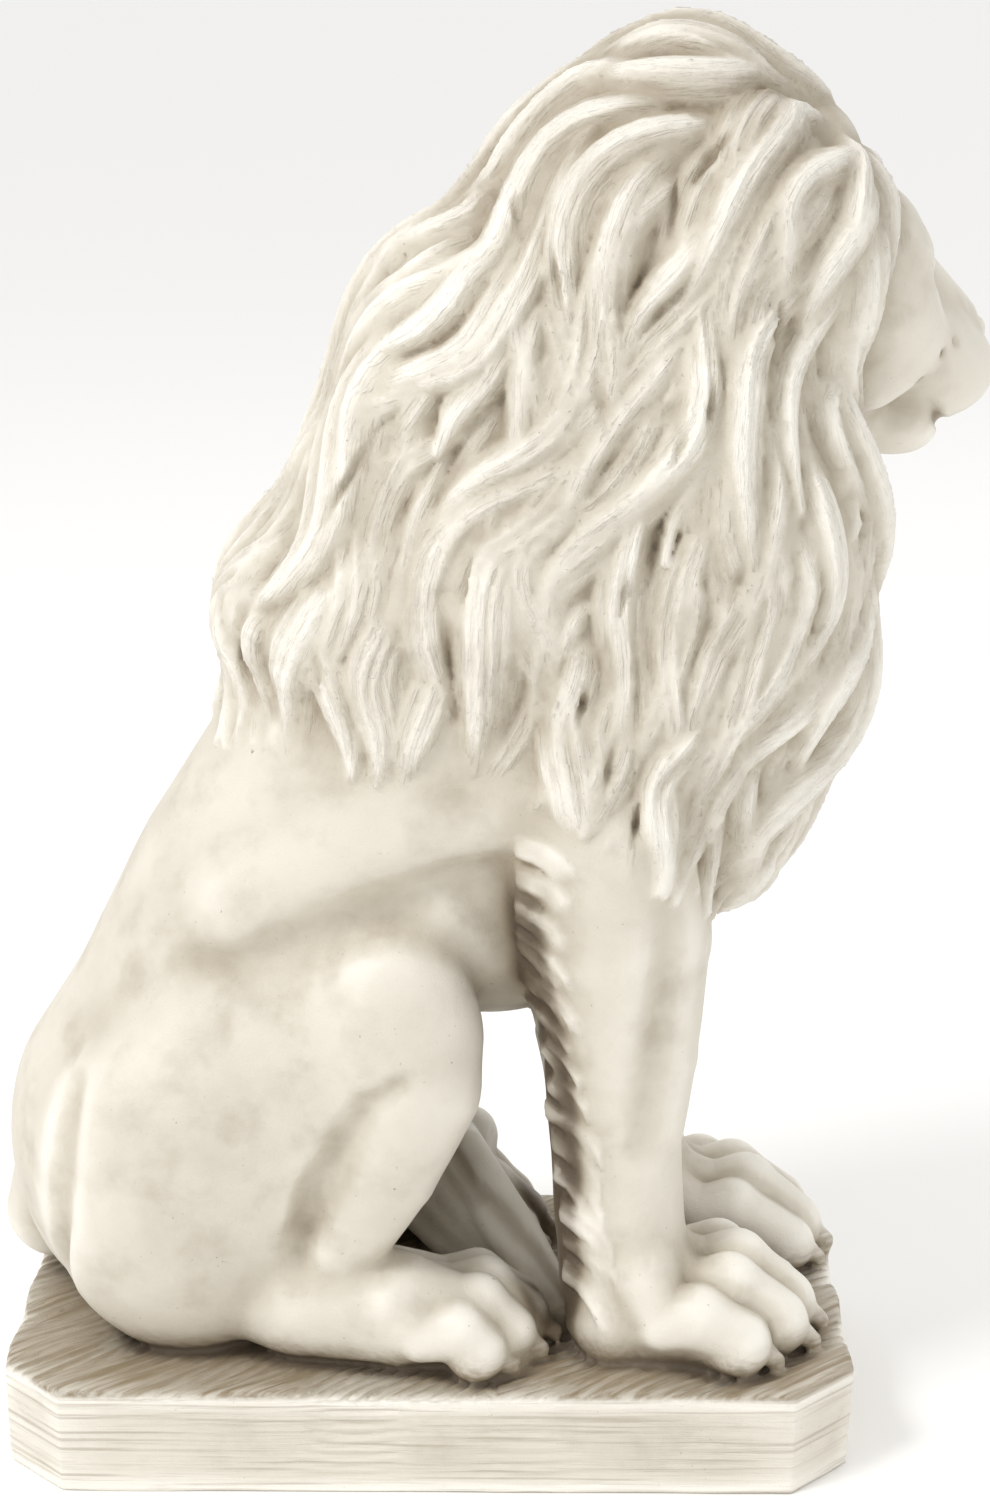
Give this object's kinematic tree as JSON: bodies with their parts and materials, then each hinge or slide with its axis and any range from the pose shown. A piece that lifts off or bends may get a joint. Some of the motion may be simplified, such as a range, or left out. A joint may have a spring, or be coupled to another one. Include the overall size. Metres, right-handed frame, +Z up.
{
  "type": "seated lion statue",
  "caption": "Seated lion with combed mane, head turned to its left, cast in one with a low plinth with cut corners; stands on its flat underside.",
  "frame": {"origin": "middle of the plinth's flat underside", "axes": "+Z up, +X the way the lion's body faces, +Y to the lion's left, the side its head is turned to"},
  "size_m": [0.4929, 0.228, 0.689],
  "materials": {
    "cast_stone": "waxy ivory cast resin and stone powder, grey-brown wash in the hollows"
  },
  "bodies": {
    "root": {"lion_statue": "cast_stone"}
  },
  "joints": []
}
